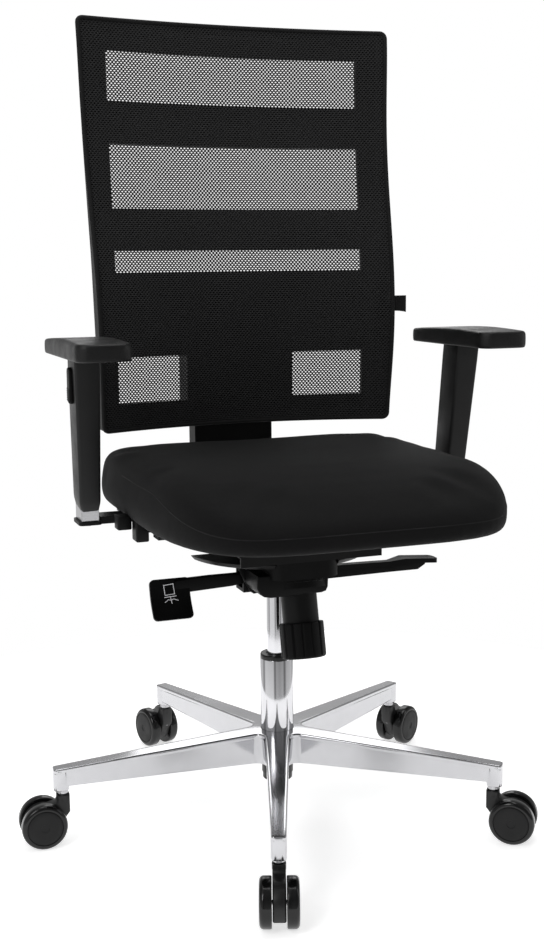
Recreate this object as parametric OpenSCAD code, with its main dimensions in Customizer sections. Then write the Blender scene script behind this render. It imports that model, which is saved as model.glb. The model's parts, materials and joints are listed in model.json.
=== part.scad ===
// Swivel office chair: five-star base, gas lift, tilt mechanism, upholstered
// seat, net back and two height-adjustable arms.
// Millimetres. The floor is z = 0, the column is the Z axis, the sitter faces -Y.

/* [Base] */
// Radius from the column to the tip of a leg
base_r = 343; // [335:1:360]
// Direction of the first leg, seen from above
base_turn = 250; // [0:1:359]
// Top of a leg at the hub
hub_top = 137; // [134:1:142]
// Top of a leg at its tip
tip_top = 114; // [111:1:118]
// Width of a leg at the column
leg_root = 38; // [34:1:42]
// Width of a leg at its tip
leg_tip = 20; // [18:1:24]

/* [Casters] */
// Diameter of a caster wheel
wheel_d = 66; // [62:1:66]
// Distance from the column to a caster stem
stem_r = 330; // [322:0.5:332]
// Distance from the stem to the wheel axle
trail = 30; // [26:1:32]
// Swivel of each caster away from the leg's own direction
caster_turn = [0, 0, 0, 0, 0];

/* [Gas lift] */
// Top of the outer tube
tube_top = 245; // [235:1:250]
// Diameter of the outer tube
tube_d = 50; // [48:1:52]
// Diameter of the sliding cylinder
piston_d = 28; // [26:1:30]

/* [Seat] */
// Width of the cushion
seat_w = 492; // [470:1:500]
// Front edge of the cushion
seat_front = -378; // [-390:1:-360]
// Rear edge of the cushion
seat_rear = 148; // [138:1:150]
// Highest point of the cushion
seat_top = 566; // [555:1:572]

/* [Back] */
// Width of the back at its top
back_w_top = 494; // [470:1:500]
// Width of the back at its bottom
back_w_low = 468; // [450:1:480]
// Height of the back's lower edge
back_low = 584; // [580:1:590]
// Height of the back's upper edge
back_high = 1190; // [1185:1:1200]

/* [Arms] */
// Distance from the middle plane to the middle of an arm
arm_x = 288; // [282:1:296]
// Forward lean of an arm post
arm_lean = 8; // [4:1:10]
// Outward lean of an arm post
arm_splay = 1.3; // [0:0.1:2]
// Length of an arm pad
pad_l = 240; // [220:1:250]
// Width of an arm pad
pad_w = 75; // [70:1:78]

/* [Hidden] */
CASTERS = 5;
$fn = 48;

FIT = 0.05;          // running clearance on a radius
GAP = 0.3;           // clearance between sliding shapes
EPS = 0.5;           // how far a cutting shape runs past the surface

// base
hub_r = 36;
hub_bottom = 84;
leg_low = 86;        // underside of the legs
leg_wall = 4;
boss_r = 9.5;
boss_bottom = 80;
stem_d = 11;

// casters
wheel_r = wheel_d / 2;
web_t = 18;          // thickness of the hood between the wheels
wheel_in = 9.6;      // inner face of a wheel from the caster's middle
wheel_out = 26.2;    // outer face of a wheel
axle_r = 3;
hood_top = 73;

// gas lift
tube_r = tube_d / 2;
tube_low_r = 22.5;
tube_low = 54;
taper_top = 140;
tube_bore_r = 17;
piston_r = piston_d / 2;
piston_low = 170;
piston_top = 408;
piston_tip_r = 13;
rod_r = 5;

// mechanism
boss_low = 362;
house_low = 384;
house_top = 411;
house_w = 88;
spring_foot = [0, -115, 278];   // lower end of the tension spring's axis
spring_lean = 13.7;
cup_r = 42.5;
spring_tube_r = 26;
knob_r = 32;
knob_h = 51;
seat_axle_y = -120;
seat_axle_z = 428;
back_axle_y = 50;
back_axle_z = 398;
pin_r = 5;
cover_r = 140;
lever_x = -61;       // pin of the lift lever
lever_y = -45;
lever_z = 384;
lever_pin_r = 3;
tilt_y = -29;        // axis of the tilt lever
tilt_z = 383;
tilt_r = 4.5;

// seat
plate_low = 436;
plate_t = 5;
rail_x = 91;
shell_low = 488;
shell_t = 6;
seat_skirt = 485;
seat_mid = (seat_front + seat_rear) / 2;
seat_half = (seat_rear - seat_front) / 2;
screw_y = [-110, 70];

// back
bar_front = 190;
bar_t = 33;
bar_w = 130;
bar_top = 800;

// arms
post_foot = 479;
foot_x = arm_x - 5;  // middle of a post at its foot
post_y = -3;
bolt_x = [140, 190]; // bolts that hold a bracket to the seat
post_w = 25;
post_d = 40;
pad_low = 711;
pad_h = 27;
pad_y = -53;
plate_w = 52;        // plate let into the underside of a pad
plate_l = 170;

// ---------- shared shapes ----------

// Rectangle with round corners
module rounded(w, d, r) {
  square([w - 2 * r, d], center = true);
  square([w, d - 2 * r], center = true);
  for (sx = [-1, 1], sy = [-1, 1]) translate([sx * (w / 2 - r), sy * (d / 2 - r)]) circle(r);
}

// Block with round upright corners, standing at height z0
module slab(w, d, z0, z1, r) {
  translate([0, 0, z0]) linear_extrude(z1 - z0) rounded(w, d, r);
}

// Cylinder along X, centred on the middle plane
module xpin(r, length, y, z) {
  translate([0, y, z]) rotate([0, 90, 0]) cylinder(r = r, h = length, center = true);
}

// Upright shape given by its side profile [y, z], extruded along X
module side_profile(points, width) {
  rotate([90, 0, 90]) linear_extrude(width, center = true) polygon(points);
}

// The frame of leg k, with X along the leg
module at_leg(k) {
  rotate([0, 0, base_turn + 72 * k]) children();
}

// The frame of caster k: origin on the stem's axis, wheels trail along +X
module at_caster(k) {
  at_leg(k) translate([stem_r, 0, 0]) rotate([0, 0, caster_turn[k]]) children();
}

// The frame of the tension spring: origin at its lower end, Z up its axis
module at_spring() {
  translate(spring_foot) rotate([-spring_lean, 0, 0]) children();
}

// The frame of an arm post: side is -1 left, 1 right
module at_post(side) {
  translate([side * foot_x, post_y, post_foot]) rotate([arm_lean, side * arm_splay, 0]) children();
}

// Solid between a front and a rear surface over a grid; cells where filled is 0 stay open.
// front and rear are lists of rows of [x, y, z] points.
module grid_solid(front, rear, filled) {
  rows = len(front);
  cols = len(front[0]);
  count = rows * cols;
  points = [for (row = front) for (p = row) p, for (row = rear) for (p = row) p];
  f = function (r, c) r * cols + c;
  b = function (r, c) count + r * cols + c;
  on = function (r, c) r < 0 || c < 0 || r >= rows - 1 || c >= cols - 1 ? 0 : filled[r][c];
  faces = [
    for (r = [0 : rows - 2]) for (c = [0 : cols - 2]) if (on(r, c) == 1)
      each concat(
        [[f(r, c), f(r + 1, c), f(r + 1, c + 1)], [f(r, c), f(r + 1, c + 1), f(r, c + 1)]],
        [[b(r, c), b(r + 1, c + 1), b(r + 1, c)], [b(r, c), b(r, c + 1), b(r + 1, c + 1)]],
        on(r - 1, c) == 1 ? [] :
          [[f(r, c), f(r, c + 1), b(r, c + 1)], [f(r, c), b(r, c + 1), b(r, c)]],
        on(r + 1, c) == 1 ? [] :
          [[f(r + 1, c + 1), f(r + 1, c), b(r + 1, c)],
           [f(r + 1, c + 1), b(r + 1, c), b(r + 1, c + 1)]],
        on(r, c - 1) == 1 ? [] :
          [[f(r + 1, c), f(r, c), b(r, c)], [f(r + 1, c), b(r, c), b(r + 1, c)]],
        on(r, c + 1) == 1 ? [] :
          [[f(r, c + 1), f(r + 1, c + 1), b(r + 1, c + 1)],
           [f(r, c + 1), b(r + 1, c + 1), b(r, c + 1)]])
  ];
  polyhedron(points, faces, convexity = 8);
}

// Closed solid through a stack of rings with the same number of points
module ring_solid(rings) {
  n = len(rings[0]);
  m = len(rings);
  points = [for (ring = rings) for (p = ring) p];
  faces = concat(
    [[for (i = [n - 1 : -1 : 0]) i]],
    [for (k = [0 : m - 2]) for (i = [0 : n - 1]) each [
      [k * n + i, k * n + (i + 1) % n, (k + 1) * n + (i + 1) % n],
      [k * n + i, (k + 1) * n + (i + 1) % n, (k + 1) * n + i]]],
    [[for (i = [0 : n - 1]) (m - 1) * n + i]]);
  polyhedron(points, faces, convexity = 4);
}

// ---------- base and casters ----------

// Side profile of a leg as [r, z]
function leg_outline() = [
  [0, hub_top], [base_r - 6, tip_top + 0.6], [base_r - 1.5, tip_top - 1.2], [base_r, tip_top - 5],
  [base_r, leg_low + 5], [base_r - 4, leg_low], [0, leg_low]
];

// Plan of a leg, narrowed on each side by the inset
module leg_plan(inset) {
  root = leg_root / 2 - inset;
  tip = leg_tip / 2 - inset;
  linear_extrude(hub_top + EPS)
    polygon([[0, -root], [base_r + EPS, -tip], [base_r + EPS, tip], [0, root]]);
}

module leg() {
  difference() {
    union() {
      intersection() {
        rotate([90, 0, 0]) linear_extrude(leg_root, center = true) polygon(leg_outline());
        leg_plan(0);
      }
      translate([stem_r, 0, boss_bottom]) cylinder(r = boss_r, h = 12);
    }
    // open underside, stopping short of the stem socket
    intersection() {
      rotate([90, 0, 0]) linear_extrude(leg_root, center = true)
        polygon([[hub_r + 8, hub_top - 8], [stem_r - 22, tip_top - 5], [stem_r - 22, 70], [hub_r + 8, 70]]);
      leg_plan(leg_wall);
    }
    translate([stem_r, 0, boss_bottom - EPS]) cylinder(d = stem_d, h = 26);
  }
}

module base_star() {
  color("lightgray") difference() {
    union() {
      for (k = [0 : CASTERS - 1]) at_leg(k) leg();
      translate([0, 0, hub_bottom]) cylinder(r = hub_r, h = hub_top - 1.5 - hub_bottom);
    }
    translate([0, 0, tube_low]) cylinder(r1 = tube_low_r + FIT, r2 = tube_r + FIT, h = taper_top - tube_low);
  }
}

module caster_stems() {
  color("silver") for (k = [0 : CASTERS - 1]) at_leg(k) translate([stem_r, 0, 0]) {
    translate([0, 0, 42]) cylinder(d = stem_d, h = 62);
    translate([0, 0, 75]) cylinder(d = 16, h = 5);
  }
}

module caster_hood(k) {
  color([0.06, 0.06, 0.07]) at_caster(k) difference() {
    rotate([90, 0, 0]) linear_extrude(web_t, center = true) difference() {
      union() {
        translate([trail, wheel_r]) circle(r = wheel_r - 1.5);
        translate([-9, 44]) square([18, hood_top - 44]);
        polygon([[-9, 44], [9, 68], [trail + 6, 62], [trail - 28, 22]]);
      }
      translate([-20, -5]) square([90, 14]);
    }
    translate([0, 0, 40]) cylinder(d = stem_d + 2 * FIT, h = hood_top);
    translate([trail, 0, wheel_r]) rotate([90, 0, 0])
      cylinder(r = axle_r + FIT, h = web_t + 2, center = true);
  }
}

module caster_axle(k) {
  color("silver") at_caster(k) translate([trail, 0, wheel_r]) rotate([90, 0, 0])
    cylinder(r = axle_r, h = 46, center = true);
}

// Half of a wheel's section as [radius, distance from the caster's middle]
function wheel_outline() = [
  [0, wheel_in], [wheel_r - 1.6, wheel_in], [wheel_r, wheel_in + 1.6],
  for (a = [0 : 15 : 90]) [wheel_r - 4.5 + 4.5 * cos(a), wheel_out - 4.5 + 4.5 * sin(a)],
  [wheel_r - 6.5, wheel_out], [wheel_r - 7.3, wheel_out - 1.6],
  [wheel_r - 9.6, wheel_out - 1.9], [wheel_r - 10.4, wheel_out - 0.6],
  [10, wheel_out - 1.4], [9.2, wheel_out - 2.2], [0, wheel_out - 2.4]
];

module caster_wheels(k) {
  color([0.03, 0.03, 0.035]) at_caster(k) translate([trail, 0, wheel_r])
    for (side = [-1, 1]) rotate([90 * side, 0, 0]) difference() {
      rotate_extrude($fn = 64) polygon(wheel_outline());
      cylinder(r = axle_r, h = 23);
    }
}

// ---------- gas lift ----------

module lift_outer_tube() {
  color("silver") difference() {
    union() {
      translate([0, 0, tube_low]) cylinder(r1 = tube_low_r, r2 = tube_r, h = taper_top - tube_low);
      translate([0, 0, taper_top]) cylinder(r = tube_r, h = tube_top - taper_top);
    }
    translate([0, 0, tube_low + 6]) cylinder(r = tube_bore_r, h = tube_top);
    translate([0, 0, tube_low - EPS]) cylinder(r = rod_r + FIT, h = 10);
  }
}

module lift_guide_bush() {
  color([0.05, 0.05, 0.05]) difference() {
    union() {
      translate([0, 0, tube_top - 45]) cylinder(r = tube_bore_r, h = 45);
      translate([0, 0, tube_top]) cylinder(r = tube_r, h = 5);
      translate([0, 0, tube_top + 5]) cylinder(r1 = tube_r, r2 = tube_r - 2, h = 2);
    }
    translate([0, 0, tube_top - 46]) cylinder(r = piston_r + FIT, h = 60);
  }
}

module lift_thrust_bearing() {
  color("darkgray") translate([0, 0, tube_low + 6]) difference() {
    cylinder(r = 15, h = 7);
    translate([0, 0, -EPS]) cylinder(r = rod_r + FIT, h = 10);
  }
}

module lift_rod() {
  color("silver") {
    translate([0, 0, tube_low - 8]) cylinder(r = rod_r, h = 220 - tube_low);
    translate([0, 0, tube_low + 13.1]) cylinder(r = 9, h = 3);
    translate([0, 0, 210]) cylinder(r = 10.7, h = 10);
  }
}

module lift_clip() {
  color("silver") translate([0, 0, tube_low - 2.5]) difference() {
    cylinder(r = 9, h = 2);
    translate([0, 0, -EPS]) cylinder(r = rod_r, h = 3);
    translate([0, -2.5, -EPS]) cube([12, 5, 3]);
  }
}

module lift_cylinder() {
  color([0.75, 0.75, 0.77]) difference() {
    union() {
      translate([0, 0, piston_low]) cylinder(r = piston_r, h = boss_low - piston_low);
      translate([0, 0, boss_low]) cylinder(r1 = piston_r, r2 = piston_tip_r, h = piston_top - boss_low);
    }
    translate([0, 0, piston_low + 10]) cylinder(r = 11, h = 205);
    translate([0, 0, piston_low - EPS]) cylinder(r = rod_r + FIT, h = 12);
    translate([0, 0, 380]) cylinder(r = 3.05, h = 40);
  }
}

module lift_release_pin() {
  color("silver") translate([0, 0, 386]) cylinder(r = 3, h = 28);
}

// ---------- mechanism ----------

module mechanism_housing() {
  color([0.10, 0.10, 0.11]) difference() {
    union() {
      intersection() {
        at_spring() translate([0, 0, 98]) cylinder(r = cup_r, h = 64);
        translate([-60, -160, house_low - 20]) cube([120, 140, house_top - house_low + 20]);
      }
      translate([-house_w / 2, -95, house_low]) cube([house_w, 165, house_top - house_low]);
      translate([0, 0, boss_low]) cylinder(r = 27, h = house_top - boss_low);
      // ears that carry the seat's axle
      for (side = [-1, 1]) translate([side * 34, 0, 0]) {
        xpin(12, 8, seat_axle_y, seat_axle_z);
        translate([-4, seat_axle_y - 12, 395]) cube([8, 24, seat_axle_z - 395]);
      }
      // bearing block for the lift lever on the left, rod socket on the right
      translate([lever_x - 11, lever_y - 17, 366]) cube([32, 34, 34]);
      translate([40, tilt_y - 13, 370]) cube([26, 26, 26]);
    }
    // tapered socket for the gas lift and the hole for its release pin
    translate([0, 0, boss_low]) cylinder(r1 = piston_r + FIT, r2 = piston_tip_r + FIT, h = piston_top - boss_low);
    translate([0, 0, boss_low - 10]) cylinder(r = piston_r + FIT, h = 10);
    translate([0, 0, piston_top - EPS]) cylinder(r = 9, h = 20);
    // spring bore
    at_spring() translate([0, 0, 90]) cylinder(r = spring_tube_r, h = 35);
    // yoke for the back bar's tongue
    translate([-36, 30, 340]) cube([72, 60, 90]);
    xpin(pin_r + FIT, 120, seat_axle_y, seat_axle_z);
    xpin(pin_r, 120, back_axle_y, back_axle_z);
    // lever slot and rod socket
    translate([lever_x - 19, lever_y - 12, 371]) cube([33, 24, 44]);
    translate([lever_x, lever_y, lever_z]) rotate([90, 0, 0]) cylinder(r = lever_pin_r, h = 60, center = true);
    translate([46, tilt_y, tilt_z]) rotate([0, 90, 0]) cylinder(r = tilt_r + FIT, h = 40);
  }
}

module mechanism_cover() {
  color([0.07, 0.07, 0.075]) difference() {
    intersection() {
      translate([0, 0, house_top + 0.2]) cylinder(r1 = cover_r - 6, r2 = cover_r, h = 7, $fn = 96);
      translate([-cover_r, -cover_r, house_top]) cube([2 * cover_r, cover_r - 20, 8]);
    }
    translate([-47, -150, house_top - 1]) cube([94, 46, 12]);
  }
}

module spring_tube() {
  color([0.05, 0.05, 0.055]) at_spring() difference() {
    translate([0, 0, 42]) cylinder(r = spring_tube_r, h = 82);
    translate([0, 0, 47]) cylinder(r = spring_tube_r - 3, h = 90);
    translate([0, 0, 40]) cylinder(r = 4 + FIT, h = 10);
  }
}

// Coil spring around the screw
module tension_spring() {
  turns = 6;
  per_turn = 12;
  coil_r = 17;
  wire_r = 2.6;
  z0 = 60;
  z1 = 118;
  steps = turns * per_turn;
  ring = function (i) let (a = 360 * i / per_turn, z = z0 + (z1 - z0) * i / steps)
    [for (j = [0 : 7]) let (b = 45 * j)
      [(coil_r + wire_r * cos(b)) * cos(a), (coil_r + wire_r * cos(b)) * sin(a), z + wire_r * sin(b)]];
  color("silver") at_spring() mirror([0, 1, 0]) ring_solid([for (i = [0 : steps]) ring(i)]);
}

module spring_seat() {
  color("silver") at_spring() translate([0, 0, 52]) difference() {
    cylinder(r = 21, h = 5);
    translate([0, 0, -EPS]) cylinder(r = 4 + FIT, h = 6);
  }
}

module tension_screw() {
  color("silver") at_spring() translate([0, 0, 16]) cylinder(r = 4, h = 50);
}

module tension_knob() {
  flutes = 20;
  color([0.12, 0.12, 0.125]) at_spring() translate([0, 0, -2]) difference() {
    union() {
      translate([0, 0, 2]) cylinder(r = knob_r, h = knob_h - 2);
      cylinder(r1 = knob_r - 2, r2 = knob_r, h = 2);
    }
    for (i = [0 : flutes - 1]) rotate([0, 0, 360 / flutes * i]) translate([knob_r + 0.8, 0, 4])
      cylinder(r = 2, h = knob_h);
    translate([0, 0, knob_h - 8]) cylinder(r = spring_tube_r + GAP, h = 10);
    translate([0, 0, 18]) cylinder(r = 4, h = 40);
  }
}

module lift_lever() {
  color([0.09, 0.09, 0.095]) difference() {
    union() {
      translate([lever_x - 15, lever_y - 10, lever_z - 8]) cube([26, 20, 16]);
      translate([-160, lever_y - 9, lever_z - 9]) cube([90, 8, 17]);
      // paddle for the hand
      translate([-180, lever_y - 1, lever_z + 8]) rotate([-25, 0, 0]) mirror([0, 0, 1])
        translate([-28, -5, 0]) cube([58, 5, 59]);
      translate([-152, lever_y - 11, lever_z - 8]) cube([8, 10, 15]);
    }
    translate([lever_x, lever_y, lever_z]) rotate([90, 0, 0])
      cylinder(r = lever_pin_r + FIT, h = 60, center = true);
  }
}

module lever_pin() {
  color("silver") translate([lever_x, lever_y, lever_z]) rotate([90, 0, 0])
    cylinder(r = lever_pin_r, h = 34, center = true);
}

module tilt_lever() {
  color([0.09, 0.09, 0.095]) {
    translate([47, tilt_y, tilt_z]) rotate([0, 90, 0]) cylinder(r = tilt_r, h = 135);
    translate([165, tilt_y, tilt_z]) rotate([12, 0, 0]) translate([0, -14, -3]) cube([83, 24, 6]);
  }
}

// ---------- seat ----------

module seat_axle() {
  color("silver") xpin(pin_r, 98, seat_axle_y, seat_axle_z);
}

module seat_plate() {
  color([0.06, 0.06, 0.065]) difference() {
    union() {
      translate([0, -20, 0]) slab(210, 260, plate_low, plate_low + plate_t, 8);
      translate([-105, -150, 424]) cube([210, 4, 14]);
      for (side = [-1, 1]) translate([side * 42.5, 0, 0]) {
        xpin(12, 7, seat_axle_y, seat_axle_z);
        translate([-3.5, seat_axle_y - 12, seat_axle_z]) cube([7, 24, plate_low - seat_axle_z + 1]);
      }
    }
    xpin(pin_r, 120, seat_axle_y, seat_axle_z);
    // slots over the housing's ears
    for (side = [-1, 1]) translate([side * 34 - 4.5, seat_axle_y - 13, plate_low - 1]) cube([9, 26, plate_t + 2]);
  }
}

module seat_rails() {
  color("silver") for (side = [-1, 1])
    translate([side * rail_x - 5, -140, plate_low + plate_t]) cube([10, 240, 10]);
}

module seat_runners() {
  color([0.05, 0.05, 0.055]) for (side = [-1, 1]) translate([side * rail_x, 0, 0]) difference() {
    translate([-11, -140, 444]) cube([22, 240, shell_low - 444]);
    translate([-5 - GAP, -150, 440]) cube([10 + 2 * GAP, 260, 451 + GAP - 440]);
    for (y = screw_y) translate([0, y, 440]) {
      cylinder(r = 5, h = 16);
      cylinder(r = 3, h = 60);
    }
  }
}

// Seat outline at angle a: nearly square behind, well rounded in front
function seat_point(a, half_w, half_d, mid) =
  let (c = cos(a), s = sin(a), q = s > 0 ? 7 : 5, p = s > 0 ? 8 : 2.6,
       x = half_w * sign(c) * pow(abs(c), 2 / q),
       y = half_d * sign(s) * pow(abs(s), 2 / p))
  [x, mid + y];

SEAT_STEPS = 60;
SEAT_ANGLES = [for (i = [0 : SEAT_STEPS - 1]) 360 * i / SEAT_STEPS];

module seat_shell() {
  color([0.05, 0.05, 0.055]) {
    difference() {
      translate([0, 0, shell_low]) linear_extrude(shell_t)
        polygon([for (a = SEAT_ANGLES) seat_point(a, seat_w / 2 - 16, seat_half - 14, seat_mid)]);
      for (side = [-1, 1]) {
        for (y = screw_y) translate([side * rail_x, y, shell_low - EPS]) cylinder(r = 3, h = 4 + EPS);
        for (x = bolt_x) translate([side * x, post_y, shell_low - EPS]) cylinder(r = 4, h = 4 + EPS);
      }
    }
    // clips along the sides
    for (side = [-1, 1], y = [-150, -95, 60])
      translate([side * 214 - 6, y, 472]) cube([12, 26, shell_low - 472]);
  }
}

// Height of the cushion's top over the floor along the depth
function seat_crest(y) = seat_top - (y < -190 ? 42 * pow((-190 - y) / 188, 2) : 0);

// One ring of the cushion: inset from the outline, and its height as a part of the crest
function seat_ring(inset, part) =
  [for (a = SEAT_ANGLES) let (p = seat_point(a, seat_w / 2 - inset, seat_half - inset, seat_mid))
    [p[0], p[1], seat_skirt + (seat_crest(p[1]) - seat_skirt) * part]];

module seat_cushion() {
  color([0.11, 0.11, 0.11]) difference() {
    ring_solid([
      seat_ring(9, 0), seat_ring(2, 0.15), seat_ring(0, 0.4), seat_ring(2, 0.68),
      seat_ring(9, 0.87), seat_ring(24, 0.965), seat_ring(70, 0.995), seat_ring(160, 1)]);
    translate([0, 0, seat_skirt - 10]) linear_extrude(10 + shell_low + shell_t - seat_skirt)
      polygon([for (a = SEAT_ANGLES) seat_point(a, seat_w / 2 - 15.5, seat_half - 13.5, seat_mid)]);
  }
}

module seat_screws() {
  color("silver") for (side = [-1, 1], y = screw_y) translate([side * rail_x, y, 0]) {
    translate([0, 0, 452]) cylinder(r = 5, h = 4);
    translate([0, 0, 452]) cylinder(r = 3, h = shell_low + 4 - 452);
  }
}

// ---------- back ----------

module back_axle() {
  color("silver") xpin(pin_r, 92, back_axle_y, back_axle_z);
}

module back_bar() {
  color([0.07, 0.07, 0.075]) difference() {
    union() {
      side_profile([
        [back_axle_y - 12, back_axle_z - 9], [back_axle_y - 12, back_axle_z + 9],
        [165, back_axle_z + 9], [182, 420], [bar_front, 440],
        [bar_front + bar_t, 440], [bar_front + bar_t, 425], [205, 402], [185, 391], [165, back_axle_z - 9]],
        70);
      translate([-bar_w / 2, bar_front, 430]) cube([bar_w, bar_t, bar_top - 430]);
    }
    xpin(pin_r + FIT, 120, back_axle_y, back_axle_z);
  }
}

module back_sleeve() {
  color([0.06, 0.06, 0.065]) difference() {
    translate([-78, bar_front - 6, 600]) cube([156, bar_t + 13, 130]);
    translate([-bar_w / 2 - GAP, bar_front - GAP, 590]) cube([bar_w + 2 * GAP, bar_t + 2 * GAP, 150]);
  }
}

// Front edge of the back at its sides, as [height, y]
EDGE_Y = [[585, 104], [620, 99], [690, 93], [750, 90.5], [780, 90], [840, 99], [898, 113],
          [957, 125], [1020, 134], [1070, 138], [1135, 141.5], [1188, 143]];
// How far the net's middle lies behind its side edges
NET_SAG = [[585, 48], [700, 43], [840, 38], [1000, 28], [1100, 25], [1188, 22]];
// Middle of the frame's panel
PANEL_Y = [[585, 158], [650, 156], [700, 155], [840, 158], [920, 167], [1000, 175], [1080, 181], [1188, 183]];
PANEL_SAG = 22;      // how far the panel comes forward at 200 from the middle

function back_half(z) = (back_w_low + (back_w_top - back_w_low) * (z - back_low) / (back_high - back_low)) / 2;
function net_y(x, z) = lookup(z, EDGE_Y) + lookup(z, NET_SAG) * (1 - pow(x / back_half(z), 2));
function panel_y(x, z) = lookup(z, PANEL_Y) - PANEL_SAG * pow(x / 200, 2);

module back_net() {
  cols = 20;
  bands = 26;
  corner = 9;
  steps = [0, 1.2, 4, corner];   // heights of the rows that round a corner
  zs = [for (d = steps) back_low + d,
        for (j = [1 : bands - 1]) back_low + corner + (back_high - back_low - 2 * corner) * j / bands,
        for (k = [3 : -1 : 0]) back_high - steps[k]];
  inset = function (z) let (d = min(z - back_low, back_high - z, corner))
    corner - sqrt(corner * corner - pow(corner - d, 2));
  sheet = function (depth) [for (z = zs) [for (i = [0 : cols])
    let (x = (back_half(z) - inset(z)) * (2 * i / cols - 1)) [x, net_y(x, z) + depth, z]]];
  color([0.22, 0.22, 0.23])
    grid_solid(sheet(0), sheet(1.5), [for (j = [1 : len(zs) - 1]) [for (i = [1 : cols]) 1]]);
}

module back_frame() {
  rim = 12;
  // grid lines as parts of the half width, and heights
  half = function (z) back_half(z) - 3;
  xs = function (z) let (h = half(z)) [-h, -h + rim, -h + rim + 2, -200, -170, -135, -87, -50, 0,
                                     50, 87, 135, 170, 200, h - rim - 2, h - rim, h];
  zs = [588, 600, 602, 624.5, 647, 670, 694, 735, 778, 821, 853, 885, 916, 947, 979, 1010, 1041,
        1072, 1108, 1145, 1171, 1173, 1185];
  window = function (x, z) abs(x) < 200 && (
    (z > 624.5 && z < 694 && abs(x) > 87) || (z > 821 && z < 853) ||
    (z > 916 && z < 1010) || (z > 1072 && z < 1145));
  raised = function (i, j) i < 2 || i > 14 || j < 2 || j > 20;
  front = [for (j = [0 : len(zs) - 1]) let (z = zs[j], row = xs(z)) [for (i = [0 : 16])
    [row[i], raised(i, j) ? net_y(row[i], z) + 2.2 : panel_y(row[i], z), z]]];
  rear = [for (j = [0 : len(zs) - 1]) let (z = zs[j], row = xs(z)) [for (i = [0 : 16])
    [row[i], panel_y(row[i], z) + 7, z]]];
  filled = [for (j = [0 : len(zs) - 2]) let (zm = (zs[j] + zs[j + 1]) / 2, row = xs(zm))
    [for (i = [0 : 15]) window((row[i] + row[i + 1]) / 2, zm) ? 0 : 1]];
  color([0.04, 0.04, 0.045]) {
    grid_solid(front, rear, filled);
    // pegs that stand on the sleeve
    for (x = [-55, 55], z = [612, 716]) translate([x, panel_y(x, z) + 4, z]) rotate([-90, 0, 0])
      cylinder(r = 8, h = bar_front - 6 - panel_y(x, z) - 4);
  }
}

module back_tag() {
  color([0.03, 0.03, 0.03]) translate([back_half(769) + 0.3, 91, 757]) cube([20, 2.5, 24]);
}

// ---------- arms ----------

module arm_bracket(side) {
  inner = 120;
  color([0.08, 0.08, 0.085]) difference() {
    union() {
      translate([side * foot_x, post_y, 474]) linear_extrude(5) rounded(32, 46, 6);
      // tongue under the seat: low at the cushion's skirt, full height under the shell
      scale([side, 1, 1]) {
        translate([inner, post_y - 17, 474]) cube([foot_x - 15 - inner, 34, 10.5]);
        translate([inner, post_y - 17, 474]) cube([100, 34, shell_low - 474]);
      }
    }
    translate([side * foot_x, post_y, 470]) cylinder(r = 4.2, h = 20);
    for (x = bolt_x) translate([side * x, post_y, 470]) cylinder(r = 4.2, h = 30);
  }
}

module arm_post(side) {
  color([0.75, 0.75, 0.76]) difference() {
    intersection() {
      at_post(side) translate([-post_w / 2, -post_d / 2, -20]) cube([post_w, post_d, 215]);
      translate([side * arm_x - 50, -100, post_foot]) cube([100, 200, 240]);
    }
    translate([side * foot_x, post_y, post_foot - EPS]) cylinder(r = 4, h = 26);
  }
}

module arm_cover(side) {
  color([0.10, 0.10, 0.105]) difference() {
    intersection() {
      at_post(side) {
        intersection() {
          rotate([90, 0, 0]) linear_extrude(80, center = true)
            polygon([[-14.7, 18], [14.7, 18], [18.2, 240], [-18.2, 240]]);
          rotate([90, 0, 90]) linear_extrude(80, center = true)
            polygon([[-23.6, 18], [23.6, 18], [25.6, 240], [-25.6, 240]]);
        }
      }
      translate([side * arm_x - 50, -100, 480]) cube([100, 200, pad_low - 480]);
    }
    at_post(side) {
      translate([-post_w / 2 - GAP, -post_d / 2 - GAP, 0])
        cube([post_w + 2 * GAP, post_d + 2 * GAP, 215]);
      // recess for the release button
      translate([side > 0 ? 14 : -34, -10.4, 168]) cube([20, 20.8, 54]);
    }
  }
}

module arm_button(side) {
  ribs = 5;
  color([0.05, 0.05, 0.055]) at_post(side) scale([side, 1, 1]) {
    translate([15.6, -10, 169]) cube([7.2, 20, 51]);
    for (i = [0 : ribs - 1]) translate([22.8, -9, 172 + 4 * i]) rotate([-90, 0, 0])
      cylinder(r = 1, h = 18);
  }
}

module arm_pad_plate(side) {
  color([0.12, 0.12, 0.12]) translate([side * arm_x, pad_y, 0])
    slab(plate_w, plate_l, pad_low, pad_low + 5, 10);
}

module arm_pad(side) {
  color([0.12, 0.12, 0.125]) translate([side * arm_x, pad_y, 0]) difference() {
    slab(pad_w, pad_l, pad_low, pad_low + pad_h, 22);
    slab(plate_w + GAP, plate_l + GAP, pad_low - EPS, pad_low + 5 + GAP / 2, 10 + GAP / 2);
  }
}

// Bolt that stands on its tapered head
module bolt(x, length) {
  translate([x, post_y, 470]) {
    cylinder(r = 4, h = length);
    cylinder(r1 = 5.5, r2 = 7.5, h = 4);
  }
}

module arm_bolts() {
  color("silver") for (side = [-1, 1]) {
    bolt(side * foot_x, 32);
    for (x = bolt_x) bolt(side * x, shell_low + 4 - 470);
  }
}

// ---------- what is drawn ----------

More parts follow.
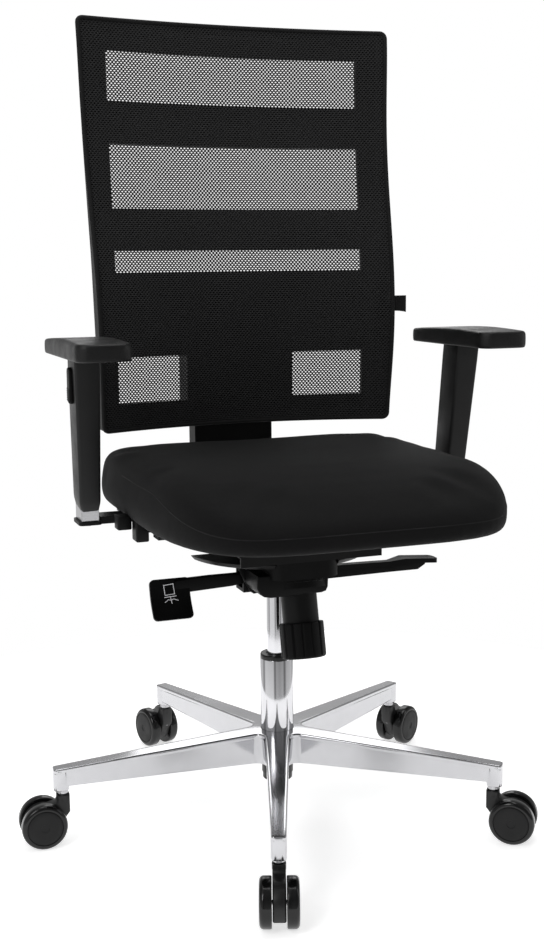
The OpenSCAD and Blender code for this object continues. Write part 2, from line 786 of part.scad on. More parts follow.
base_star();
caster_stems();
for (k = [0 : CASTERS - 1]) {
  caster_hood(k);
  caster_axle(k);
  caster_wheels(k);
}
lift_outer_tube();
lift_guide_bush();
lift_thrust_bearing();
lift_rod();
lift_clip();
lift_cylinder();
lift_release_pin();
mechanism_housing();
mechanism_cover();
spring_tube();
tension_spring();
spring_seat();
tension_screw();
tension_knob();
lift_lever();
lever_pin();
tilt_lever();
seat_axle();
seat_plate();
seat_rails();
seat_runners();
seat_shell();
seat_cushion();
seat_screws();
back_axle();
back_bar();
back_sleeve();
back_frame();
back_net();
back_tag();
arm_bracket(-1);  // arm_left_bracket
arm_bracket(1);  // arm_right_bracket
arm_post(-1);  // arm_left_post
arm_post(1);  // arm_right_post
arm_cover(-1);  // arm_left_cover
arm_cover(1);  // arm_right_cover
arm_button(-1);  // arm_left_button
arm_button(1);  // arm_right_button
arm_pad_plate(-1);  // arm_left_pad_plate
arm_pad_plate(1);  // arm_right_pad_plate
arm_pad(-1);  // arm_left_pad
arm_pad(1);  // arm_right_pad
arm_bolts();
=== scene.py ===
"""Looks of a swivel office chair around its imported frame. Metres, +Z up, the sitter faces -Y."""
import json
import math

import bmesh
import bpy
import numpy as np
from mathutils import Matrix, Vector
from mathutils.bvhtree import BVHTree


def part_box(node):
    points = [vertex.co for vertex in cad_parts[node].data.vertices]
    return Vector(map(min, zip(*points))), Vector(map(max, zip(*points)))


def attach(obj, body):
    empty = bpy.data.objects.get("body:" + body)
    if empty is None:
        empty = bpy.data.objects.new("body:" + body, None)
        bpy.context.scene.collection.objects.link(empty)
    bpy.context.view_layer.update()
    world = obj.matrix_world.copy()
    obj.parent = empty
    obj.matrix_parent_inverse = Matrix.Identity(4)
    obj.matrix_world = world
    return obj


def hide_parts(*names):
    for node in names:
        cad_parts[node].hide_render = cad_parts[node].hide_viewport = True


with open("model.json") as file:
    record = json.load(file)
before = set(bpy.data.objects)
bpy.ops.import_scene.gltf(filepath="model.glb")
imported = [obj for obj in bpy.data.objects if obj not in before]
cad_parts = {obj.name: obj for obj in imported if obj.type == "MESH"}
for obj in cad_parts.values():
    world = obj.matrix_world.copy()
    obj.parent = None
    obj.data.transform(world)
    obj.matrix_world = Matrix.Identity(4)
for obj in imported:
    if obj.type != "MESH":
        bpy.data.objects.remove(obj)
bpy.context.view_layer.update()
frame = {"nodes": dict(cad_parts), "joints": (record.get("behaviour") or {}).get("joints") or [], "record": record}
scene = bpy.context.scene
joints = {joint["name"]: joint for joint in frame["joints"]}
MM = 0.001
UP = Vector((0, 0, 1))
CASTERS = range(1, 6)
SIDES = {"left": -1, "right": 1}
POST_X, POST_Y, POST_FOOT = 283 * MM, -3 * MM, 479 * MM     # foot of an arm post
FLAT_ANGLE = math.radians(0.6)              # faces that meet flatter than this are joined
HARD_ANGLE = math.radians(30)               # edges that bend more than this are rounded


# ---------- mesh helpers ----------

class Shape:
    """Vertices, faces and material zones of a piece while it is put together."""

    def __init__(self):
        self.verts, self.faces, self.zones = [], [], []

    def add(self, verts, faces, zone=0):
        start = len(self.verts)
        self.verts += [Vector(v) for v in verts]
        self.faces += [[start + i for i in face] for face in faces]
        self.zones += [zone] * len(faces)

    def grid(self, rows, zone=0, wrap=False):
        """Quads over rows of points; wrap joins each row's end to its start."""
        count = len(rows[0])
        span = count if wrap else count - 1
        faces = [[r * count + c, r * count + (c + 1) % count,
                  (r + 1) * count + (c + 1) % count, (r + 1) * count + c]
                 for r in range(len(rows) - 1) for c in range(span)]
        self.add([p for row in rows for p in row], faces, zone)

    def loft(self, rings, zone=0, caps=True):
        """Skin through closed rings with the same number of points."""
        first, count = len(self.verts), len(rings[0])
        self.grid(rings, zone, wrap=True)
        if caps:
            last = first + (len(rings) - 1) * count
            self.faces += [list(range(first, first + count))[::-1], list(range(last, last + count))]
            self.zones += [zone] * 2

    def lathe(self, profile, centre=(0, 0, 0), axis=UP, steps=64, closed=False, zone=0):
        """Profile of (radius, height) points turned about the axis through the centre."""
        axis = Vector(axis).normalized()
        side = axis.orthogonal().normalized()
        other = axis.cross(side)
        turns = [(math.cos(math.tau * s / steps), math.sin(math.tau * s / steps)) for s in range(steps)]
        rings = [[Vector(centre) + axis * h + (side * c + other * s) * max(r, 1e-7) for c, s in turns]
                 for r, h in profile]
        if closed:
            rings.append(rings[0])
        self.loft(rings, zone, caps=False)

    def prism(self, outline, low, high, rim, matrix=Matrix()):
        """Outline of (x, y) points between two heights, with rounded rims."""
        turns = [math.radians(a) for a in (0, 30, 60, 90)]
        levels = [(rim * (1 - math.sin(a)), low + rim * (1 - math.cos(a))) for a in turns]
        levels += [(rim * (1 - math.cos(a)), high - rim * (1 - math.sin(a))) for a in turns]
        self.loft([[matrix @ Vector((x, y, z)) for x, y in inset(outline, d)] for d, z in levels])

    def tube(self, path, radius, steps=8, closed=False):
        """Round bar along a path."""
        count = len(path)
        rings = []
        side = None
        for i, point in enumerate(path):
            ahead = path[(i + 1) % count] if closed or i < count - 1 else point
            behind = path[i - 1] if closed or i > 0 else point
            along = (Vector(ahead) - Vector(behind)).normalized()
            side = along.orthogonal() if side is None else side - along * side.dot(along)
            side.normalize()
            other = along.cross(side)
            rings.append([Vector(point) + (side * math.cos(a) + other * math.sin(a)) * radius
                          for a in (math.tau * s / steps for s in range(steps))])
        if closed:
            rings.append(rings[0])
        self.loft(rings, caps=not closed)


def mm(points):
    """Points given in millimetres, in metres."""
    return [(x * MM, y * MM) for x, y in points]


def inset(outline, distance):
    """Counter-clockwise outline moved inwards."""
    points = [Vector(p) for p in outline]
    moved = []
    for i, point in enumerate(points):
        before, after = point - points[i - 1], points[(i + 1) % len(points)] - point
        n1 = Vector((-before.y, before.x)).normalized()
        n2 = Vector((-after.y, after.x)).normalized()
        normal = (n1 + n2).normalized()
        moved.append(point + normal * distance / max(normal.dot(n1), 0.5))
    return [(p.x, p.y) for p in moved]


def arc(x, y, radius, start, end, steps=4):
    """Points along an arc, angles in degrees."""
    angles = [math.radians(start + (end - start) * i / steps) for i in range(steps + 1)]
    return [(x + radius * math.cos(a), y + radius * math.sin(a)) for a in angles]


def round_rect(width, depth, radius, steps=4):
    """Counter-clockwise rectangle with round corners."""
    x, y = width / 2 - radius, depth / 2 - radius
    return (arc(x, -y, radius, -90, 0, steps) + arc(x, y, radius, 0, 90, steps)
            + arc(-x, y, radius, 90, 180, steps) + arc(-x, -y, radius, 180, 270, steps))


def settle(mesh, sharp):
    """Welds a mesh, turns its faces outwards and shades it smooth up to an angle."""
    work = bmesh.new()
    work.from_mesh(mesh)
    bmesh.ops.remove_doubles(work, verts=work.verts, dist=2e-6)
    bmesh.ops.dissolve_degenerate(work, edges=work.edges, dist=1e-7)
    bmesh.ops.recalc_face_normals(work, faces=work.faces)
    work.to_mesh(mesh)
    work.free()
    mesh.polygons.foreach_set("use_smooth", [True] * len(mesh.polygons))
    mesh.set_sharp_from_angle(angle=math.radians(sharp))


def piece(name, shape, materials, body, slot, nodes=(), sharp=38):
    """Makes an object from a shape; it rides on a body and stands for CAD nodes."""
    mesh = bpy.data.meshes.new(name)
    mesh.from_pydata([tuple(v) for v in shape.verts], [], shape.faces)
    for material in materials:
        mesh.materials.append(material)
    mesh.polygons.foreach_set("material_index", shape.zones)
    settle(mesh, sharp)
    return seat_piece(bpy.data.objects.new(name, mesh), body, slot, nodes)


def seat_piece(obj, body, slot, nodes=()):
    """Puts an object in the scene, on a body, with the CAD nodes it stands for hidden; the slot is not used."""
    scene.collection.objects.link(obj)
    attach(obj, body)
    if nodes:
        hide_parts(*nodes)
    return obj


def softened(node, body, slot, material, width):
    """A CAD node's form with its hard edges rounded, as a piece of its own."""
    work = bmesh.new()
    work.from_mesh(frame["nodes"][node].data)
    bmesh.ops.remove_doubles(work, verts=work.verts, dist=1e-5)
    bmesh.ops.dissolve_limit(work, angle_limit=FLAT_ANGLE, verts=work.verts, edges=work.edges)
    edges = [e for e in work.edges if len(e.link_faces) == 2 and e.calc_face_angle(0) > HARD_ANGLE]
    bmesh.ops.bevel(work, geom=edges, offset=width, offset_type="OFFSET", segments=2, profile=0.6,
                    affect="EDGES", clamp_overlap=True)
    mesh = bpy.data.meshes.new("soft_" + node)
    work.to_mesh(mesh)
    work.free()
    mesh.materials.append(material)
    settle(mesh, 45)
    obj = seat_piece(bpy.data.objects.new(node + "_shell", mesh), body, slot, [node])
    weighted = obj.modifiers.new("normals", "WEIGHTED_NORMAL")
    weighted.keep_sharp = True


def subdivided(obj):
    """Adds a subdivision surface of one level."""
    modifier = obj.modifiers.new("smooth", "SUBSURF")
    modifier.levels = 1
    modifier.render_levels = 1


def surface_tree(mesh):
    """Search tree over a mesh, to lay pieces on it."""
    return BVHTree.FromPolygons([v.co for v in mesh.vertices], [p.vertices for p in mesh.polygons])


# ---------- materials ----------

FINE_SHARE = 0.45                           # of a finish's colour that the fine grain sets


def material(name, dark, light, rough, metallic=0.0, grain=(900, 0.1), cells=False, patch=(14, 0.06),
             sheen=0.0, specular=0.5, blue=1.03):
    """Procedural finish: two greys, uneven roughness in patches and a fine grain in the surface."""
    made = bpy.data.materials.new(name)
    made.use_nodes = True
    tree = made.node_tree
    tree.nodes.clear()

    def node(kind, **sockets):
        n = tree.nodes.new(kind)
        for key, value in sockets.items():
            n.inputs[key.replace("_", " ")].default_value = value
        return n

    def link(a, out, b, into):
        tree.links.new(a.outputs[out], b.inputs[into])

    out = node("ShaderNodeOutputMaterial")
    shader = node("ShaderNodeBsdfPrincipled", Metallic=metallic, Sheen_Weight=sheen, Sheen_Roughness=0.45,
                  Specular_IOR_Level=specular)
    place = node("ShaderNodeTexCoord")
    large = node("ShaderNodeTexNoise", Scale=patch[0], Detail=4.0)
    link(place, "Object", large, "Vector")
    fine = node("ShaderNodeTexVoronoi" if cells else "ShaderNodeTexNoise", Scale=grain[0])
    link(place, "Object", fine, "Vector")
    fine_out = "Distance" if cells else "Fac"
    tint = node("ShaderNodeMix")
    tint.data_type = "RGBA"
    tint.inputs["A"].default_value = (dark, dark, dark * blue, 1)
    tint.inputs["B"].default_value = (light, light, light * blue, 1)
    blend = node("ShaderNodeMath")
    blend.operation = "MULTIPLY_ADD"
    blend.inputs[1].default_value = FINE_SHARE
    link(fine, fine_out, blend, 0)
    share = node("ShaderNodeMath")
    share.operation = "MULTIPLY"
    share.inputs[1].default_value = 1 - FINE_SHARE
    link(large, "Fac", share, 0)
    link(share, "Value", blend, 2)
    link(blend, "Value", tint, "Factor")
    link(tint, "Result", shader, "Base Color")
    uneven = node("ShaderNodeMapRange", From_Min=0.3, From_Max=0.7, To_Min=max(rough - patch[1], 0.02),
                  To_Max=min(rough + patch[1], 1.0))
    link(large, "Fac", uneven, "Value")
    link(uneven, "Result", shader, "Roughness")
    bump = node("ShaderNodeBump", Strength=grain[1], Distance=0.0004)
    link(fine, fine_out, bump, "Height")
    link(bump, "Normal", shader, "Normal")
    link(shader, "BSDF", out, "Surface")
    return made


ALLOY = material("polished_alloy", 0.52, 0.64, 0.14, metallic=1.0, grain=(60, 0.03), patch=(9, 0.05))
CHROME = material("chrome", 0.62, 0.72, 0.07, metallic=1.0, grain=(40, 0.015), patch=(12, 0.03))
STEEL = material("zinc_steel", 0.45, 0.62, 0.3, metallic=1.0, grain=(900, 0.08))
ALUMINIUM = material("drawn_aluminium", 0.42, 0.55, 0.26, metallic=1.0, grain=(500, 0.08))
POWDER = material("powder_coat", 0.002, 0.005, 0.45, grain=(1400, 0.2), patch=(20, 0.08), specular=0.18)
CAST = material("cast_housing", 0.003, 0.006, 0.42, grain=(1100, 0.25), patch=(30, 0.08), specular=0.1)
HOOD = material("hood_nylon", 0.005, 0.01, 0.4, grain=(1300, 0.2), patch=(40, 0.08), specular=0.4)
GLOSS = material("wheel_gloss", 0.003, 0.006, 0.16, grain=(500, 0.05), patch=(40, 0.05), specular=0.4)
DISC = material("wheel_disc", 0.005, 0.009, 0.5, grain=(1600, 0.3), patch=(60, 0.08), specular=0.27)
BUSH = material("bush_plastic", 0.003, 0.006, 0.35, grain=(900, 0.1), specular=0.4)
KNOB = material("knob_plastic", 0.003, 0.005, 0.42, grain=(1500, 0.35), cells=True, patch=(50, 0.07),
                specular=0.1)
LEVER = material("lever_plastic", 0.003, 0.005, 0.4, grain=(1500, 0.3), cells=True, patch=(50, 0.07),
                 specular=0.08)
SHELL = material("shell_plastic", 0.003, 0.006, 0.5, grain=(1200, 0.3), cells=True, patch=(20, 0.07),
                 specular=0.3)
COVER = material("arm_plastic", 0.005, 0.01, 0.4, grain=(1100, 0.35), cells=True, patch=(30, 0.08),
                 specular=0.33)
PAD = material("pad_urethane", 0.004, 0.008, 0.4, grain=(700, 0.7), cells=True, patch=(40, 0.08),
               specular=0.3)
NET = material("net_thread", 0.011, 0.032, 0.6, grain=(2600, 0.5), patch=(8, 0.05), specular=0.25)
BINDING = material("net_binding", 0.005, 0.012, 0.65, grain=(2200, 0.6), cells=True, specular=0.2)
TAG = material("tag_cloth", 0.004, 0.01, 0.7, grain=(2400, 0.5), specular=0.2)
PRINT = material("white_print", 0.7, 0.8, 0.5, grain=(2000, 0.05))
FABRIC = material("seat_fabric", 0.003, 0.009, 0.75, grain=(1500, 0.7), cells=True, patch=(5, 0.06),
                  sheen=0.03, specular=0.12)
THREAD = material("seam_thread", 0.006, 0.012, 0.6, grain=(3000, 0.4), specular=0.2)

SLOT_LOOKS = {
    "base_metal": ALLOY, "steel": STEEL, "chrome": CHROME, "hood_plastic": HOOD, "wheel_plastic": GLOSS,
    "bush_plastic": BUSH, "black_metal": POWDER, "knob_plastic": KNOB, "shell_plastic": SHELL,
    "seat_fabric": FABRIC, "back_net": NET, "tag_fabric": TAG, "arm_metal": ALUMINIUM, "arm_plastic": COVER,
    "pad_rubber": PAD,
}


def dress_nodes():
    """Gives every CAD node the finish of its slot."""
    for part in frame["record"]["subparts"]:
        obj = frame["nodes"][part["node"]]
        obj.data.materials.clear()
        obj.data.materials.append(SLOT_LOOKS[part["material_slot"]])


# ---------- base ----------

LEG_ROOT, LEG_TIP = 19 * MM, 10 * MM        # half widths of a leg
TIP_PAST_STEM = 13 * MM
HUB_FILLET = 14 * MM
TUBE_SEAT = 25.4 * MM                       # opening for the lift tube
LEG_LOW = 86 * MM
LEG_FALL = 23 * MM                          # from the hub's top to the leg's top at its tip


def leg_half(reach):
    """Half outline of a leg from the line between two legs to the tip: point, inward normal, centre point."""
    slope = math.atan((LEG_ROOT - LEG_TIP) / reach)
    sector = math.radians(36)
    cross = LEG_ROOT / (math.sin(sector) + math.cos(sector) * math.tan(slope))
    away = cross + HUB_FILLET / math.sin(sector + slope)
    middle = Vector((math.cos(sector), math.sin(sector))) * away
    points = []
    for i in range(9):
        a = math.pi + sector + (math.pi / 2 - slope - sector) * i / 8
        turn = Vector((math.cos(a), math.sin(a)))
        b = sector * (1 - i / 8)
        points.append((middle + turn * HUB_FILLET, turn, Vector((math.cos(b), math.sin(b))) * TUBE_SEAT))
    start = points[-1][0].x
    inward = Vector((-math.sin(slope), -math.cos(slope)))
    end_round = 4 * MM
    for i in range(1, 17):
        share = i / 16
        x = start + (reach - end_round - start) * share
        centre = Vector((TUBE_SEAT + (reach - 8 * MM - TUBE_SEAT) * share, 0))
        points.append((Vector((x, LEG_ROOT - x * math.tan(slope))), inward, centre))
    tip = Vector((reach - 7 * MM, 0))
    y = points[-1][0].y - end_round
    for i in range(1, 5):
        a = math.pi / 2 * (1 - i / 4)
        turn = Vector((math.cos(a), math.sin(a)))
        points.append((Vector((reach - end_round, y)) + turn * end_round, -turn, tip))
    points.append((Vector((reach, 0)), Vector((-1, 0)), tip))
    return points


def leg_column(point, inward, centre, top_of, solid_from):
    """One cross line of a leg from the middle of its top, round its side, to the middle of its underside."""
    rim = 2.2 * MM
    step = 0.9 * MM
    ledge = 5.5 * MM
    edge = point + inward * rim
    column = [(p, top_of(p)) for p in (centre.lerp(edge, t) for t in (0, 0.4, 0.8, 1))]
    for i in range(1, 4):
        a = math.pi / 2 * i / 3
        p = point + inward * rim * (1 - math.sin(a))
        column.append((p, top_of(p) - rim * (1 - math.cos(a))))
    top = top_of(point)
    hollow = LEG_LOW if point.length > solid_from else top - 8 * MM
    for d, z in ((0, top - ledge), (0.4 * MM, top - ledge - 0.8 * MM), (step, top - ledge - 1.6 * MM),
                 (step, LEG_LOW + 5 * MM), (step * 0.8, LEG_LOW + 1.6 * MM), (1.4 * MM, LEG_LOW + 0.4 * MM),
                 (2.2 * MM, LEG_LOW), (3.8 * MM, LEG_LOW), (4.4 * MM, min(LEG_LOW + MM, hollow))):
        column.append((point + inward * d, z))
    column.append((point + inward * 4.8 * MM, hollow))
    column.append((centre, hollow))
    return [(p.x, p.y, z) for p, z in column]


def base_casting():
    """Five legs round a hub, with a round boss over each caster's stem."""
    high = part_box("base_star")[1]
    stems = [Vector(joints[f"caster_{k}_swivel"]["pos_m"]) for k in CASTERS]
    stem_r = stems[0].to_2d().length
    reach = stem_r + TIP_PAST_STEM
    fall = LEG_FALL / reach
    solid_from = stem_r - 22 * MM

    def top_of(point):
        return high.z - fall * point.length

    half = leg_half(reach)
    shape = Shape()
    for stem in stems:
        turn = Matrix.Rotation(math.atan2(stem.y, stem.x), 4, "Z")
        for side in (1, -1):
            rows = []
            for point, inward, centre in half:
                column = leg_column(point, inward, centre, top_of, solid_from)
                rows.append([turn @ Vector((x, y * side, z)) for x, y, z in column])
            shape.grid(rows)
        boss = turn @ Matrix.Translation((reach - 11 * MM, 0, 0))
        boss_top = high.z - fall * reach - 1.6 * MM
        shape.prism(round_rect(22.6 * MM, 20.6 * MM, 6.5 * MM), 79.5 * MM, boss_top, 1.5 * MM, boss)
    skirt = [(TUBE_SEAT, LEG_LOW - 2 * MM), (34 * MM, LEG_LOW - 2 * MM), (36 * MM, LEG_LOW),
             (36 * MM, 100 * MM), (TUBE_SEAT, 100 * MM)]
    shape.lathe(skirt, closed=True)
    return piece("base_casting", shape, [ALLOY], "base", "base_metal", ["base_star"], sharp=32)


# ---------- casters ----------

WHEEL_IN, WHEEL_OUT = 9.6, 26.2             # a wheel's two faces, in millimetres from the caster's middle


def caster_frame(k):
    """Origin on the floor under the stem, X along the trail, Y along the axle."""
    stem = Vector(joints[f"caster_{k}_swivel"]["pos_m"])
    axle = Vector(joints[f"wheels_{k}_roll"]["pos_m"])
    trail = Vector((axle.x - stem.x, axle.y - stem.y, 0))
    x = trail.normalized()
    y = UP.cross(x)
    matrix = Matrix((x, y, UP)).transposed().to_4x4()
    matrix.translation = (stem.x, stem.y, 0)
    return matrix, trail.length, axle.z


def caster_hood(k):
    """Web between the wheels with its neck, and the collar round the stem."""
    matrix, trail, height = caster_frame(k)
    neck, top, web = 9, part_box(f"caster_{k}_hood")[1].z / MM, 17.6
    outline = [(-neck, top), (-neck, 47), (-2, 38), (3, 24), (9, 17)]
    outline += arc(trail / MM, height / MM, 28.5, -34, 104, 14)
    outline += arc(neck + 6, 68, 6, 262, 180, 4) + [(neck, top)]
    turn = matrix @ Matrix.Rotation(math.pi / 2, 4, "X")
    shape = Shape()
    shape.prism(mm(outline), -web / 2 * MM, web / 2 * MM, 2.2 * MM, turn)
    ring = [(5.7, top - 9), (9.4, top - 9), (9.4, top - 1), (8.6, top), (5.7, top)]
    shape.lathe(mm(ring), matrix.translation, UP, 32, closed=True)
    return piece(f"caster_{k}_fork", shape, [HOOD], f"caster_{k}", "hood_plastic", [f"caster_{k}_hood"])


def wheel_profile(radius):
    """Half section of a wheel: radius and distance from the caster's middle, glossy rim then matt disc."""
    rim = [(4, WHEEL_IN + 0.6), (8.5, WHEEL_IN + 0.6), (9, WHEEL_IN + 2), (22, WHEEL_IN + 2),
           (24, WHEEL_IN + 0.2)]
    rim += arc(radius - 2, WHEEL_IN + 2, 2, -90, 0, 3)
    rim += arc(radius - 6, WHEEL_OUT - 6.3, 6, 0, 80, 7)
    rim += [(radius - 6.9, WHEEL_OUT - 0.3), (radius - 7.3, WHEEL_OUT - 1.5)]
    disc = [rim[-1], (radius - 7.9, WHEEL_OUT - 1.5), (radius - 8.3, WHEEL_OUT - 0.5),
            (radius - 9, WHEEL_OUT - 0.2)]
    disc += [(r, WHEEL_OUT + 0.1 - 0.0006 * r * r) for r in (18, 12, 6.2)]
    disc += [(5.8, WHEEL_OUT - 0.4), (4, WHEEL_OUT - 0.6), (0, WHEEL_OUT - 0.6)]
    return mm(rim), mm(disc)


def caster_wheels(k):
    """The two wheels, turned about their axle."""
    matrix, trail, height = caster_frame(k)
    rim, disc = wheel_profile(height / MM)
    hub = matrix @ Vector((trail, 0, height))
    shape = Shape()
    for side in (1, -1):
        axis = matrix.to_3x3() @ Vector((0, side, 0))
        shape.lathe(rim, hub, axis, 72)
        shape.lathe(disc, hub, axis, 72, zone=1)
    return piece(f"caster_{k}_tyres", shape, [GLOSS, DISC], f"wheels_{k}", "wheel_plastic",
                 [f"caster_{k}_wheels"], sharp=30)


# ---------- gas lift ----------

def lift_tube():
    """Chromed tube over a plain foot, which sits in the base."""
    low, high = (corner.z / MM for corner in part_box("lift_outer_tube"))
    foot, bore = 22.5, 5.3
    shape = Shape()
    plain = [(bore, low), (foot - 1.5, low), (foot, low + 1.5), (foot, 64), (foot + 1.3, 65)]
    plain.append((foot + 1.6, 90))
    chromed = [plain[-1], (24.9, 140), (25, 142), (25, high - 1.2), (24.6, high - 0.3), (23.8, high),
               (17.3, high), (17.3, 70), (bore, 70), (bore, low)]
    shape.lathe(mm(plain), steps=72, zone=1)
    shape.lathe(mm(chromed), steps=96)
    return piece("lift_sleeve", shape, [CHROME, BUSH], "base", "chrome", ["lift_outer_tube"], sharp=25)


def lift_bush():
    """Guide bush in the tube, with a domed collar on top."""
    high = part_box("lift_guide_bush")[1].z / MM
    shape = Shape()
    section = [(14.2, high - 40), (16.9, high - 40), (16.9, high - 7.1), (24.6, high - 7.1),
               (24.6, high - 4.6)] + arc(22.6, high - 2.2, 2, 0, 90, 4)
    section += [(16.2, high - 0.2), (15.4, high - 1.5), (14.2, high - 2.4)]
    shape.lathe(mm(section), steps=96, closed=True)
    return piece("lift_collar", shape, [BUSH], "base", "bush_plastic", ["lift_guide_bush"], sharp=25)


def lift_piston():
    """Hollow piston with its cone in the housing."""
    low, high = (corner.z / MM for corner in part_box("lift_cylinder"))
    shape = Shape()
    section = [(5.3, low), (13, low), (14, low + 1), (14, 362), (13, high - 0.5), (12.5, high), (3.3, high),
               (3.3, 390), (11, 389), (11, low + 10), (5.3, low + 9)]
    shape.lathe(mm(section), steps=80, closed=True)
    return piece("lift_piston", shape, [CHROME], "mechanism", "chrome", ["lift_cylinder"], sharp=25)


# ---------- tilt mechanism ----------

SPRING = joints["tension_knob"]
SPRING_FOOT, SPRING_AXIS = Vector(SPRING["pos_m"]), Vector(SPRING["axis"])
SPRING_SIDE = SPRING_AXIS.orthogonal().normalized()
SPRING_OTHER = SPRING_AXIS.cross(SPRING_SIDE)


def spring_ring(height, radii):
    """Closed ring round the spring's axis, with one radius for each of its points, all in millimetres."""
    ring = []
    for s, radius in enumerate(radii):
        a = math.tau * s / len(radii)
        out = SPRING_SIDE * math.cos(a) + SPRING_OTHER * math.sin(a)
        ring.append(SPRING_FOOT + SPRING_AXIS * height * MM + out * radius * MM)
    return ring


def spring_sleeve():
    """Tube round the tension spring."""
    shape = Shape()
    section = [(4.2, 42), (25, 42), (26, 43), (26, 94), (24.5, 95), (24.5, 122), (22.5, 122), (22.5, 48),
               (4.2, 47)]
    shape.lathe(mm(section), SPRING_FOOT, SPRING_AXIS, 80, closed=True)
    return piece("spring_sleeve", shape, [POWDER], "mechanism", "black_metal", ["spring_tube"], sharp=30)


def spring_cup():
    """Front of the housing: round cup, notched collar, pan behind it, side wing and the wall round them."""
    shape = Shape()
    r, low, high = 42.3, 98, 122
    section = [(26.4, low + 3), (27.5, low)] + arc(r - 5, low + 5, 5, -90, 0, 5)
    section += [(r, high - 1), (r - 1, high), (26.4, high)]
    shape.lathe(mm(section), SPRING_FOOT, SPRING_AXIS, 96, closed=True)
    notches, per_notch, collar_r, notch_depth = 22, 8, 43.6, 1.1
    rings = []
    for height, shrink in ((106, 1.2), (107, 0), (119, 0), (120, 1.2)):
        radii = [collar_r - shrink - (notch_depth if s % per_notch in (0, 1) else 0)
                 for s in range(notches * per_notch)]
        rings.append(spring_ring(height, radii))
    shape.loft(rings)
    upright = Matrix.Rotation(math.pi / 2, 4, "X")
    pan = [(-70, 402), (-71, 384), (-66, 375), (-60, 371), (-50, 369), (26, 370), (33, 372), (36, 378),
           (37, 402)]
    shape.prism(mm(pan), 62 * MM, 119 * MM, 2.5 * MM, upright)
    wing = [(-40, 404), (-79, 404), (-80, 400), (-64, 368), (-58, 364), (-40, 366)]
    shape.prism(mm(wing), 62.5 * MM, 67 * MM, MM, upright)
    outer, inner = round_rect(104, 76, 24, 6), round_rect(98, 70, 21, 6)
    rings = [[((x - 1) * MM, (y - 98) * MM, z * MM) for x, y in wall]
             for wall, z in ((outer, 396), (outer, 423), (inner, 423), (inner, 396), (outer, 396))]
    shape.loft(rings, caps=False)
    return piece("spring_cup", shape, [CAST], "mechanism", "black_metal")


def seat_side_boxes():
    """Seat slider's catches under the left edge, and the domed nuts under the arm posts."""
    shape = Shape()
    for x, y, width, depth, low, high in ((-230, -95, 18, 26, 462, 492), (-248, -70, 20, 22, 475, 495)):
        place = Matrix.Translation((x * MM, y * MM, 0))
        shape.prism(mm(round_rect(width, depth, 3)), low * MM, high * MM, 2 * MM, place)
    nut = [(0, 469.6), (4, 469.9), (7, 471.2), (8.5, 473.6), (8.5, 474.2), (0, 474.2)]
    for side in SIDES.values():
        shape.lathe(mm(nut), (side * POST_X, POST_Y, 0), UP, 32)
    return piece("seat_fittings", shape, [POWDER], "seat", "black_metal")


def tension_knob():
    """Round grip with grooves; each level has a height and shares of the radius and of the grooves."""
    shape = Shape()
    ribs, per_rib, grip_r, groove_depth, rib_share = 14, 12, 32, 1.7, 0.72
    levels = [(-2, 0.75, 0), (-1.9, 0.86, 0), (-1.2, 0.94, 0), (0.4, 0.985, 0.2), (3, 1, 1), (12, 1, 1),
              (40, 1, 1), (46, 1, 1), (48.4, 0.99, 1), (49, 0.96, 1), (49, 0.86, 0.2), (47, 0.845, 0)]
    rings = []
    for height, part, depth in levels:
        radii = []
        for s in range(ribs * per_rib):
            phase = abs((s % per_rib) / per_rib - 0.5) * 2
            groove = groove_depth * max(0.0, (phase - rib_share) / (1 - rib_share)) ** 0.6 * depth
            radii.append(grip_r * part - groove)
        rings.append(spring_ring(height, radii))
    shape.loft(rings)
    return piece("tension_grip", shape, [KNOB], "tension_knob", "knob_plastic", ["tension_knob"], sharp=30)


def border(rows):
    """Points round the edge of a grid."""
    return rows[0] + [row[-1] for row in rows[1:-1]] + rows[-1][::-1] + [row[0] for row in rows[-2:0:-1]]


def blade(shape, rows, shift):
    """Closed plate between a grid of points and the same grid shifted."""
    back = [[p + shift for p in row] for row in rows]
    shape.grid(rows)
    shape.grid(back)
    shape.grid([border(rows), border(back)], wrap=True)


def rounded_rows(width, length, corner, at, columns=9):
    """Grid over a rectangle with round corners; at maps (x, t) to a point."""
    ends = [corner * (1 - math.cos(math.radians(a))) for a in (0, 25, 50, 70, 90)]
    ts = ends + [corner + (length - 2 * corner) * i / 7 for i in range(1, 7)]
    ts += [length - e for e in ends[::-1]]
    rows = []
    for t in ts:
        d = min(t, length - t, corner)
        half = width / 2 - corner + math.sqrt(max(corner ** 2 - (corner - d) ** 2, 0))
        rows.append([at((2 * i / (columns - 1) - 1) * half, t) for i in range(columns)])
    return rows


PADDLE_TOP = Vector((-179 * MM, -46 * MM, 392.5 * MM))
PADDLE_LEAN = math.radians(25)


def paddle_point(x, t, lift=0.0):
    """Point of the paddle's front face, hollowed along its height."""
    down = Vector((0, -math.sin(PADDLE_LEAN), -math.cos(PADDLE_LEAN)))
    out = Vector((0, -math.cos(PADDLE_LEAN), math.sin(PADDLE_LEAN)))
    hollow = 4.5 * MM * math.sin(math.pi * min(t / (59 * MM), 1)) ** 1.2
    return PADDLE_TOP + Vector((x, 0, 0)) + down * t + out * (lift - hollow + 4 * MM)


